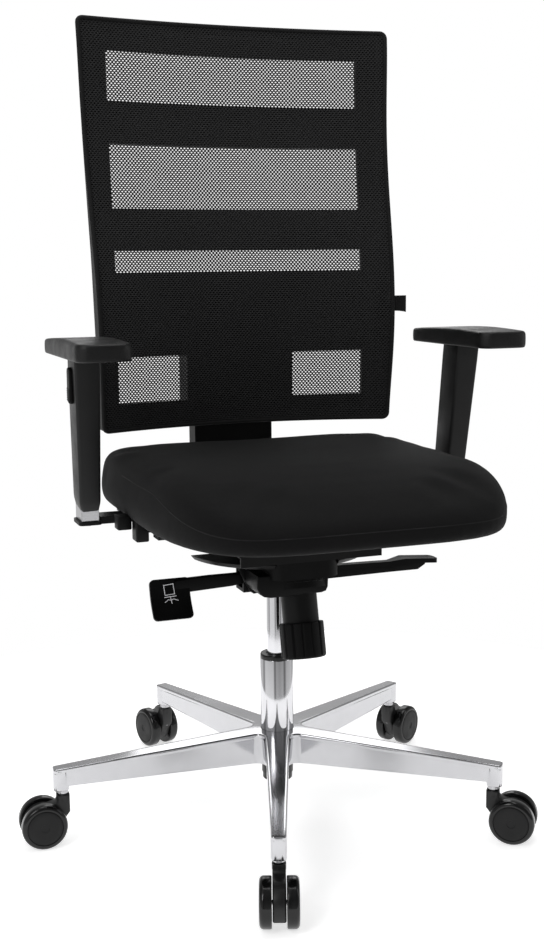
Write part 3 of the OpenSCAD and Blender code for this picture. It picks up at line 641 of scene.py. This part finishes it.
def lift_lever():
    """Curved paddle on a flat arm."""
    shape = Shape()
    back = Vector((0, math.cos(PADDLE_LEAN), -math.sin(PADDLE_LEAN)))
    blade(shape, rounded_rows(58 * MM, 59 * MM, 6 * MM, paddle_point), back * 4.5 * MM)
    rings = []
    arm = ((-50, -45, 384, 17, 14), (-72, -45, 384, 17, 15), (-86, -49, 384, 8, 19),
           (-120, -49.5, 383.5, 8, 20.5), (-150, -49.5, 382.5, 8, 21), (-172, -50, 382, 7, 18))
    for x, y, z, w, h in arm:
        rings.append([Vector((x * MM, (y + a) * MM, (z + b) * MM)) for a, b in round_rect(w, h, 2.5, 3)])
    shape.loft(rings)
    return piece("lift_paddle", shape, [LEVER], "lift_lever", "knob_plastic", ["lift_lever"], sharp=60)


def stroke(shape, points, width, lift):
    """Flat printed line on the paddle, through points in millimetres from its top middle."""
    for (x0, t0), (x1, t1) in zip(points, points[1:]):
        along = Vector((x1 - x0, t1 - t0)).normalized()
        across = Vector((-along.y, along.x)) * width / 2
        a, b = Vector((x0, t0)) - along * width / 2, Vector((x1, t1)) + along * width / 2
        ring = [a - across, b - across, b + across, a + across]
        rows = [[paddle_point(p.x * MM, p.y * MM, depth) for p in ring] for depth in (-0.4 * MM, lift)]
        shape.loft(rows)


def paddle_symbol():
    """Plain chair symbol: back, seat, column and feet."""
    shape = Shape()
    for line in ([(-9, 9), (5, 8), (6, 22), (-8, 23), (-9, 9)], [(-9, 26), (8, 25)], [(-0.5, 26), (0, 31)],
                 [(-9, 33), (-4, 29.5), (0, 30.5), (4, 29), (10, 31.5)], [(0, 30), (0.6, 35)]):
        stroke(shape, line, 1.0, 0.12 * MM)
    return piece("paddle_symbol", shape, [PRINT], "lift_lever", "knob_plastic")


def tilt_lever():
    """Round bar, flat arm with a folded end, and blade grip."""
    pivot = Vector(joints["tilt_lever"]["pos_m"])
    shape = Shape()
    shape.tube([(x * MM, pivot.y, pivot.z) for x in (47, 74)], 4.4 * MM, steps=24)
    side = [(66, 366), (172, 367), (221, 367), (233, 374), (236, 380), (186, 383), (178, 381), (66, 384)]
    upright = Matrix.Translation((0, pivot.y, 0)) @ Matrix.Rotation(math.pi / 2, 4, "X")
    shape.prism(mm(side), -2.2 * MM, 2.2 * MM, 1.2 * MM, upright)

    def at(y, t):
        x = 70 * MM + t
        grip = min(max((x - 176 * MM) / (11 * MM), 0), 1)
        grip = grip * grip * (3 - 2 * grip)
        arm_top = 386 * MM - 0.02 * t
        grip_top = 388.5 * MM - 0.075 * (x - 186 * MM)
        dish = 0.8 * MM * grip * (1 - (y / (13 * MM)) ** 2)
        z = arm_top + (grip_top - arm_top) * grip - dish
        return Vector((x, pivot.y + 3 * MM + y * (0.5 + 0.5 * grip), z))

    rows = rounded_rows(26 * MM, 183 * MM, 9 * MM, at)
    blade(shape, refined(rows), -UP * 7 * MM)
    return piece("tilt_handle", shape, [LEVER], "tilt_lever", "knob_plastic", ["tilt_lever"], sharp=50)


def refined(rows):
    """Rows with three straight ones more between each pair that lies far apart."""
    result = [rows[0]]
    for before, after in zip(rows, rows[1:]):
        steps = 4 if (after[0] - before[0]).length > 9 * MM else 1
        result += [[a.lerp(b, i / steps) for a, b in zip(before, after)] for i in range(1, steps + 1)]
    return result


# ---------- seat ----------

def seat_outline(steps, half_w, half_d, mid):
    """Seat seen from above: nearly square behind, well rounded in front."""
    points = []
    for i in range(steps):
        a = math.tau * i / steps
        c, s = math.cos(a), math.sin(a)
        q, p = (9, 10) if s > 0 else (5, 2.6)
        x = half_w * math.copysign(abs(c) ** (2 / q), c)
        y = half_d * math.copysign(abs(s) ** (2 / p), s)
        points.append((x, mid + y))
    return points


FALL_FROM, FALL_LENGTH, FRONT_FALL = -190 * MM, 188 * MM, 42 * MM
# Rings from the seat's underside over its sides to its top: inset in millimetres and share of the height
SEAT_RINGS = ((14, 0), (7, 0), (3, 0.06), (0.5, 0.18), (0, 0.34), (0.4, 0.5), (1.5, 0.64), (4, 0.76),
              (8.5, 0.86), (16, 0.925), (30, 0.965), (55, 0.985), (90, 0.995), (130, 1), (180, 1), (225, 1))


def crest(y, top):
    """Height of the seat's top along its depth: it falls away at the front."""
    return top - FRONT_FALL * (max(FALL_FROM - y, 0) / FALL_LENGTH) ** 2


def seat_cushion():
    """Padded seat, swelled by cloth, and the seam sewn on it."""
    low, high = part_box("seat_cushion")
    half_w, half_d, mid = high.x - 3 * MM, (high.y - low.y) / 2 - 3 * MM, (low.y + high.y) / 2
    top = high.z - 2 * MM
    foot = low.z
    shape = Shape()
    steps = 120
    rings = []
    for gap, part in SEAT_RINGS:
        tight = 0.5 if gap < 20 and part > 0.4 else 1
        outer = seat_outline(steps, half_w - gap * tight * MM, half_d - gap * tight * MM, mid)
        inner = seat_outline(steps, half_w - gap * MM, half_d - gap * MM, mid)
        outline = []
        for (x0, y0), (x1, y1) in zip(outer, inner):
            front = min(max((mid - y0) / (0.6 * half_d), 0), 1)
            outline.append((x0 + (x1 - x0) * front, y0 + (y1 - y0) * front))
        rings.append([(x, y, foot + (crest(y, top) - foot) * part) for x, y in outline])
    shape.loft(rings)
    cushion = piece("seat_upholstery", shape, [FABRIC], "seat", "seat_fabric", ["seat_cushion"], sharp=80)
    inflate(cushion, 6 * MM, 4 * MM, foot + 5 * MM)
    seat_seam(cushion, mid)


def seat_seam(cushion, mid):
    """Sewn line round the front and the sides, low in front and higher behind."""
    tree = surface_tree(cushion.data)
    points = []
    for i in range(181):
        a = math.radians(-200 + 220 * i / 180)
        out = Vector((math.cos(a), math.sin(a), 0))
        behind = min(max((math.sin(a) + 0.85) / 0.6, 0), 1)
        z = 508 * MM + 34 * MM * behind * behind * (3 - 2 * behind)
        hit = tree.ray_cast(Vector((0, mid, z)) + out * 0.5, -out)[0]
        if hit:
            points.append(hit - out * 0.5 * MM)
    shape = Shape()
    shape.tube(points, 0.9 * MM, steps=6)
    return piece("seat_seam", shape, [THREAD], "seat", "seat_fabric", sharp=60)


def apply_modifiers(obj):
    """Makes an object's modified mesh its own mesh."""
    evaluated = obj.evaluated_get(bpy.context.evaluated_depsgraph_get())
    mesh = bpy.data.meshes.new_from_object(evaluated)
    obj.modifiers.clear()
    obj.data = mesh
    obj.data.polygons.foreach_set("use_smooth", [True] * len(obj.data.polygons))


CLOTH = {"quality": 5, "mass": 0.3, "tension_stiffness": 80, "compression_stiffness": 80,
         "bending_stiffness": 25, "use_pressure": True, "uniform_pressure_force": 4,
         "vertex_group_mass": "pins"}
SWELL_FRAMES, SMOOTH_ROUNDS = 20, 14


def inflate(obj, voxel, cap, fixed_below):
    remesh = obj.modifiers.new("remesh", "REMESH")
    remesh.mode = "VOXEL"
    remesh.voxel_size = voxel
    apply_modifiers(obj)
    rest = np.array([v.co for v in obj.data.vertices])
    pins = obj.vertex_groups.new(name="pins")
    pins.add([int(i) for i in np.where(rest[:, 2] < fixed_below)[0]], 1.0, "REPLACE")
    cloth = obj.modifiers.new("cloth", "CLOTH")
    for setting, value in CLOTH.items():
        setattr(cloth.settings, setting, value)
    cloth.settings.effector_weights.gravity = 0
    cloth.point_cache.frame_start = 1
    cloth.point_cache.frame_end = SWELL_FRAMES
    for moment in range(1, SWELL_FRAMES + 1):
        scene.frame_set(moment)
    apply_modifiers(obj)
    scene.frame_set(1)
    moved = np.array([v.co for v in obj.data.vertices])
    shift = moved - rest
    distance = np.linalg.norm(shift, axis=1)
    scale = np.minimum(1.0, cap / np.maximum(distance, 1e-9))
    obj.data.vertices.foreach_set("co", (rest + shift * scale[:, None]).ravel())
    obj.data.update()
    even = obj.modifiers.new("even", "SMOOTH")
    even.factor = 0.5
    even.iterations = SMOOTH_ROUNDS
    apply_modifiers(obj)
    subdivided(obj)
    apply_modifiers(obj)


# ---------- back ----------

NET_LOW, NET_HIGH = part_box("back_net")
NET_TALL = NET_HIGH.z - NET_LOW.z
NET_FOOT_HALF = 234 * MM                    # half width at the bottom


def net_share(z):
    """Place between the bottom and the top of the net, from 0 to 1."""
    return (z - NET_LOW.z) / NET_TALL


def net_half(z):
    """Half width of the back at a height."""
    return NET_FOOT_HALF + (NET_HIGH.x - NET_FOOT_HALF) * net_share(z)


def net_terms(u, z):
    """Terms of the net's surface: even powers of the place across, all powers of the place upwards."""
    t = net_share(z) * 2 - 1
    return [u ** (2 * i) * t ** j for i in range(2) for j in range(6)]


def fitted_net():
    """Factors of the terms that lay a smooth surface on the front of the CAD net."""
    tree = surface_tree(frame["nodes"]["back_net"].data)
    us = np.linspace(-0.97, 0.97, 17)
    zs = np.linspace(NET_LOW.z + 10 * MM, NET_HIGH.z - 10 * MM, 30)
    depths = []
    for z in zs:
        for u in us:
            hit = tree.ray_cast(Vector((u * net_half(z), -1, z)), Vector((0, 1, 0)))[0]
            depths.append((u, z, hit.y))
    data = np.array(depths)
    terms = np.stack(net_terms(data[:, 0], data[:, 1]), 1)
    return np.linalg.lstsq(terms, data[:, 2], rcond=None)[0]


NET_FIT = fitted_net()


def net_y(x, z):
    """Depth of the net's front face; works on arrays."""
    return sum(factor * term for factor, term in zip(NET_FIT, net_terms(x / net_half(z), z)))


CELL_W, CELL_H = 5.7 * MM, 6.1 * MM         # pitch of the holes along a row, and of every second row


def net_band(name, first, last, cell_rows, columns):
    """Band of the net: six-sided threads round each hole, ridged in front and behind."""
    step_z = (NET_TALL - 10 * MM) / cell_rows
    tall, short = step_z * 0.66, step_z * 0.34
    hole = 0.5
    corners = [(0, tall), (-0.5, short), (-0.5, -short), (0, -tall), (0.5, -short), (0.5, short)]
    verts, faces = [], []
    index = {}

    def vertex(x, z, depth):
        key = (round(x * 2e5), round(z * 2e5), round(depth * 1e5))
        if key not in index:
            index[key] = len(verts)
            verts.append((x, z, depth))
        return index[key]

    for row in range(first, last):
        z = NET_LOW.z + 5 * MM + step_z * (row + 0.5)
        odd = row % 2
        for column in range(columns - odd):
            u = (column + 0.5 + 0.5 * odd) / columns * 2 - 1
            pitch = 2 / columns
            front, inner, back = [], [], []
            for cu, cz in corners:
                ux, zz = u + cu * pitch, z + cz
                front.append(vertex(ux, zz, -0.35 * MM))
                back.append(vertex(ux, zz, 0.55 * MM))
                inner.append(vertex(u + cu * pitch * hole, z + cz * hole, 0.1 * MM))
            for i in range(6):
                j = (i + 1) % 6
                faces.append([front[i], front[j], inner[j], inner[i]])
                faces.append([inner[i], inner[j], back[j], back[i]])
    data = np.array(verts)
    z = data[:, 1]
    x = data[:, 0] * (net_half(z) - 2.5 * MM)
    y = net_y(x, z) + data[:, 2]
    mesh = bpy.data.meshes.new(name)
    mesh.from_pydata(np.stack([x, y, z], 1).tolist(), [], faces)
    mesh.materials.append(NET)
    mesh.polygons.foreach_set("use_smooth", [True] * len(mesh.polygons))
    return seat_piece(bpy.data.objects.new(name, mesh), "back", "back_net", ["back_net"])


def back_net():
    """The net in three bands; together they are one sheet."""
    rows = 2 * round(NET_TALL / CELL_H)
    columns = round(2 * NET_HIGH.x / CELL_W)
    cuts = [0, rows // 3, 2 * rows // 3, rows]
    width = 2 * net_half((NET_LOW.z + NET_HIGH.z) / 2)
    for i in range(3):
        band = net_band(f"net_band_{i + 1}", cuts[i], cuts[i + 1], rows, columns)


def net_binding():
    """Sewn edge round the net."""
    corner, edge = 8 * MM, 3 * MM
    low, high = NET_LOW.z + 3.5 * MM, NET_HIGH.z - 3.5 * MM
    path = []
    for side, end_z, start in ((1, high, 0), (-1, low, 180)):
        heights = np.linspace(low + corner, high - corner, 60)[::side]
        z = heights[-1]
        x = side * (net_half(z) - edge - corner)
        path += [(side * (net_half(height) - edge), height) for height in heights]
        path += arc(x, z, corner, start, start + 90, 6)
        path += [(across, end_z) for across in np.linspace(x, -x, 50)]
        path += arc(-x, z, corner, start + 90, start + 180, 6)
    points = []
    for x, z in path:
        p = Vector((x, float(net_y(x, z)) + 0.8 * MM, z))
        if not points or (p - points[-1]).length > 1.2 * MM:
            points.append(p)
    shape = Shape()
    shape.tube(points, 3.4 * MM, steps=12, closed=True)
    return piece("net_binding", shape, [BINDING], "back", "back_net", sharp=60)


def back_tag():
    """Plain cloth loop at the back's edge, drooping a little."""
    low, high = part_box("back_tag")
    shape = Shape()
    reach, middle = (high.x - low.x) * 0.97, (low.y + high.y) / 2
    rows = []
    for z in np.linspace(low.z, high.z, 8):
        row = []
        for t in np.linspace(0, 1, 9):
            droop = 2.2 * MM * t * t * (1 - (z - low.z) / (high.z - low.z))
            row.append(Vector((low.x + reach * t, middle - 1.5 * MM * math.sin(3 * t), z - droop)))
        rows.append(row)
    blade(shape, rows, Vector((0, 1.4 * MM, 0)))
    return piece("side_tag", shape, [TAG], "back", "tag_fabric", ["back_tag"], sharp=60)


# ---------- arms ----------

def post_frame(side):
    """Frame of an arm post: Z up the post, origin at its foot."""
    joint = joints[f"arm_{side}_height"]
    up = Vector(joint["axis"])
    y = (Vector((0, 1, 0)) - up * up.y).normalized()
    x = y.cross(up)
    matrix = Matrix((x, y, up)).transposed().to_4x4()
    matrix.translation = (SIDES[side] * POST_X, POST_Y, POST_FOOT)
    return matrix


def arm_cover(side):
    """Tapered sleeve over the post, cut off level under the pad."""
    matrix = post_frame(side)
    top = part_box(f"arm_{side}_cover")[1].z
    shape = Shape()
    rings = []
    for h, shrink in ((18.4, 2.6), (19.6, 2.0), (28, 0.5), (34, 0), (60, 0), (120, 0), (170, 0), (215, 0)):
        share = (h - 18) / 222
        width = (29.4 + 7.0 * share) * MM - 2 * shrink * MM
        depth = (47.2 + 4.0 * share) * MM - 2 * shrink * MM
        rings.append([matrix @ Vector((x, y, h * MM)) for x, y in round_rect(width, depth, 4.5 * MM, 4)])
    up = Vector(joints[f"arm_{side}_height"]["axis"])
    rings.append([p + up * (top - p.z) / up.z for p in rings[-1]])
    shape.loft(rings)
    return piece(f"arm_{side}_sleeve", shape, [COVER], f"arm_{side}", "arm_plastic", [f"arm_{side}_cover"])


def arm_button(side):
    """Ribbed release button on the sleeve's outer face."""
    matrix = post_frame(side)
    sign = SIDES[side]
    out = Matrix.Rotation(math.pi / 2 * sign, 4, "Y")
    place = matrix @ Matrix.Translation((sign * 16 * MM, 0, 194.5 * MM)) @ out
    shape = Shape()
    shape.prism(round_rect(50 * MM, 19 * MM, 7 * MM), 0, 6.4 * MM, 2 * MM, place)
    for i in range(6):
        x = sign * (5 + 3.2 * i) * MM
        rib = [place @ Vector((x, y * MM, 6.3 * MM)) for y in (-7.5, -4, 0, 4, 7.5)]
        shape.tube(rib, 0.9 * MM)
    return piece(f"arm_{side}_catch", shape, [LEVER], f"arm_{side}_button", "arm_plastic",
                 [f"arm_{side}_button"])


PAD_TALL, PAD_FRONT_FALL, PAD_REAR_FALL = 26, 2.5, 6.5      # in millimetres; the top is lower at its ends
# Rings from the pad's underside to its top: inset and height in millimetres
PAD_RINGS = ((9, 0), (3, 0.1), (1, 1), (0.2, 4), (0, 10), (0.1, 19), (0.5, 22), (1.6, 24.4), (3.4, 25.6),
             (6, 26), (11, 26), (18, 26), (25, 26), (31, 26), (36, 26))


def pad_outline(width, length, radius):
    """Rectangle with round corners and close points along its long sides; the halves mirror each other."""
    x, y = width / 2 - radius, length / 2 - radius
    half = arc(x, -y, radius, -90, 0, 6) + [(x + radius, y * (i / 6 - 1)) for i in range(1, 12)]
    half += arc(x, y, radius, 0, 90, 6)
    return half + [(-px, py) for px, py in half[::-1]]


def arm_pad(side):
    """Moulded pad with soft edges, lower at both ends."""
    low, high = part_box(f"arm_{side}_pad")
    middle = (low + high) / 2
    width, length = high.x - low.x, high.y - low.y
    rings = []
    for gap, z in PAD_RINGS:
        radius = max(19 - gap, 1.2) * MM
        ring = []
        for x, y in pad_outline(width - 2 * gap * MM, length - 2 * gap * MM, radius):
            share = y / length + 0.5
            drop = PAD_FRONT_FALL * max(0.0, 1 - share / 0.4) ** 1.5
            drop += PAD_REAR_FALL * max(0.0, (share - 0.4) / 0.6) ** 1.8
            ring.append((middle.x + x, middle.y + y, low.z + (z - drop * z / PAD_TALL) * MM))
        rings.append(ring)
    shape = Shape()
    shape.loft(rings, caps=False)
    for ring in (rings[0], rings[-1]):
        half = len(ring) // 2
        shape.grid([ring[:half], ring[:half - 1:-1]])
    pad = piece(f"arm_{side}_rest", shape, [PAD], f"arm_{side}", "pad_rubber", [f"arm_{side}_pad"], sharp=70)
    subdivided(pad)


# ---------- light, floor and camera ----------

LIGHT_AIM = (0, 0, 0.55)
FLOOR_RADIUS = 1


def area_light(name, place, size, power):
    """Rectangular lamp turned towards the middle of the chair."""
    data = bpy.data.lights.new(name, "AREA")
    data.shape = "RECTANGLE"
    data.size, data.size_y = size
    data.energy = power
    lamp = bpy.data.objects.new(name, data)
    lamp.location = place
    lamp.rotation_euler = (Vector(LIGHT_AIM) - Vector(place)).to_track_quat("-Z", "Y").to_euler()
    scene.collection.objects.link(lamp)


# Brightness round the horizon, from behind the camera over the left, the far side and the right, back again
AROUND = ((0.0, 0.5), (0.06, 0.6), (0.09, 0.2), (0.12, 0.95), (0.28, 1.0), (0.32, 0.3), (0.36, 0.75),
          (0.5, 0.9), (0.62, 0.9), (0.68, 0.35), (0.72, 0.8), (0.86, 0.7), (0.9, 0.2), (0.94, 0.6),
          (1.0, 0.5))
# Brightness from straight below to straight above
UPWARDS = ((0.0, 0.8), (0.4, 0.9), (0.5, 0.75), (0.62, 0.55), (0.8, 0.3), (1.0, 0.6))


def world_light():
    """Even studio light: bright behind and below, darker towards the camera, with dark flags at the sides."""
    world = bpy.data.worlds.new("studio")
    scene.world = world
    world.use_nodes = True
    tree = world.node_tree
    tree.nodes.clear()

    def ramp(source, stops):
        n = tree.nodes.new("ShaderNodeValToRGB")
        elements = n.color_ramp.elements
        for element, (position, value) in zip(elements, (stops[0], stops[-1])):
            element.position, element.color = position, (value, value, value, 1)
        for position, value in stops[1:-1]:
            elements.new(position).color = (value, value, value, 1)
        tree.links.new(source, n.inputs[0])
        return n.outputs[0]

    def maths(operation, *sources):
        n = tree.nodes.new("ShaderNodeMath")
        n.operation = operation
        for socket, source in zip(n.inputs, sources):
            if isinstance(source, (int, float)):
                socket.default_value = source
            else:
                tree.links.new(source, socket)
        return n.outputs[0]

    place = tree.nodes.new("ShaderNodeTexCoord")
    split = tree.nodes.new("ShaderNodeSeparateXYZ")
    tree.links.new(place.outputs["Generated"], split.inputs[0])
    turn = maths("ARCTAN2", split.outputs["X"], split.outputs["Y"])
    around = ramp(maths("MULTIPLY_ADD", turn, 0.5 / math.pi, 0.5), AROUND)
    height = ramp(maths("MULTIPLY_ADD", split.outputs["Z"], 0.5, 0.5), UPWARDS)
    light = maths("MULTIPLY", around, height)
    path = tree.nodes.new("ShaderNodeLightPath")
    shown = maths("MAXIMUM", light, path.outputs["Is Camera Ray"])
    background = tree.nodes.new("ShaderNodeBackground")
    out = tree.nodes.new("ShaderNodeOutputWorld")
    tree.links.new(shown, background.inputs["Color"])
    tree.links.new(background.outputs[0], out.inputs[0])


def studio():
    """World, lamps and a round white floor."""
    world_light()
    floor = bpy.data.meshes.new("floor")
    ring = [(x, y, 0) for x, y in arc(0, 0, FLOOR_RADIUS, 0, 360, 64)[:-1]]
    floor.from_pydata(ring, [], [list(range(64))])
    look = material("pale_floor", 0.9, 0.93, 0.8, grain=(40, 0.0), specular=0.1, blue=1.0)
    shader = next(n for n in look.node_tree.nodes if n.type == "BSDF_PRINCIPLED")
    shader.inputs["Emission Color"].default_value = (1, 1, 1, 1)
    shader.inputs["Emission Strength"].default_value = 0.66
    floor.materials.append(look)
    obj = bpy.data.objects.new("floor", floor)
    obj.location.z = -0.3 * MM
    scene.collection.objects.link(obj)
    area_light("key", (-2.2, -1.7, 2.4), (0.9, 1.6), 26)
    area_light("fill", (2.4, -1.0, 1.4), (0.7, 1.6), 5)
    area_light("top", (0.1, 0.2, 3.0), (1.8, 1.8), 22)
    area_light("rear", (0.9, 2.5, 1.9), (1.4, 1.4), 12)
    scene.view_settings.view_transform = "Standard"


CAMERA_PLACE = (-0.6578, -1.7953, 0.8345)
CAMERA_TURN, CAMERA_DOWN, CAMERA_ROLL = -20, 9.13, -0.56    # degrees
SENSOR_WIDTH, LENS = 36, 49.83              # millimetres


def camera():
    """The photo's view: place, then turn, tilt and roll."""
    data = bpy.data.cameras.new("camera")
    data.sensor_width = SENSOR_WIDTH
    data.lens = LENS
    matrix = Matrix.Translation(CAMERA_PLACE)
    for angle, axis in ((CAMERA_TURN, "Z"), (90 - CAMERA_DOWN, "X"), (CAMERA_ROLL, "Z")):
        matrix = matrix @ Matrix.Rotation(math.radians(angle), 4, axis)
    obj = bpy.data.objects.new("camera", data)
    obj.matrix_world = matrix
    scene.collection.objects.link(obj)
    scene.camera = obj


ROUNDING = {                                # in millimetres
    "mechanism_housing": 1.5, "mechanism_cover": 1.2, "seat_plate": 0.8, "seat_runners": 0.6,
    "seat_shell": 1.0, "back_bar": 2.5, "back_sleeve": 2.0, "back_frame": 1.0, "arm_left_bracket": 1.2,
    "arm_right_bracket": 1.2, "arm_left_post": 1.5, "arm_right_post": 1.5,
}


def rounded_parts():
    """Pieces whose CAD form is right and only lacks rounded edges."""
    slots = {part["node"]: part["material_slot"] for part in frame["record"]["subparts"]}
    bodies = {node: body for body, nodes in frame["record"]["behaviour"]["bodies"].items() for node in nodes}
    for node, width in ROUNDING.items():
        look = CAST if node == "mechanism_housing" else SLOT_LOOKS[slots[node]]
        softened(node, bodies[node], slots[node], look, width * MM)


camera()
studio()
dress_nodes()
base_casting()
for k in CASTERS:
    caster_hood(k)
    caster_wheels(k)
lift_tube()
lift_bush()
lift_piston()
spring_sleeve()
spring_cup()
seat_side_boxes()
tension_knob()
lift_lever()
paddle_symbol()
tilt_lever()
rounded_parts()
seat_cushion()
net_binding()
back_net()
back_tag()
for side in SIDES:
    arm_cover(side)
    arm_button(side)
    arm_pad(side)
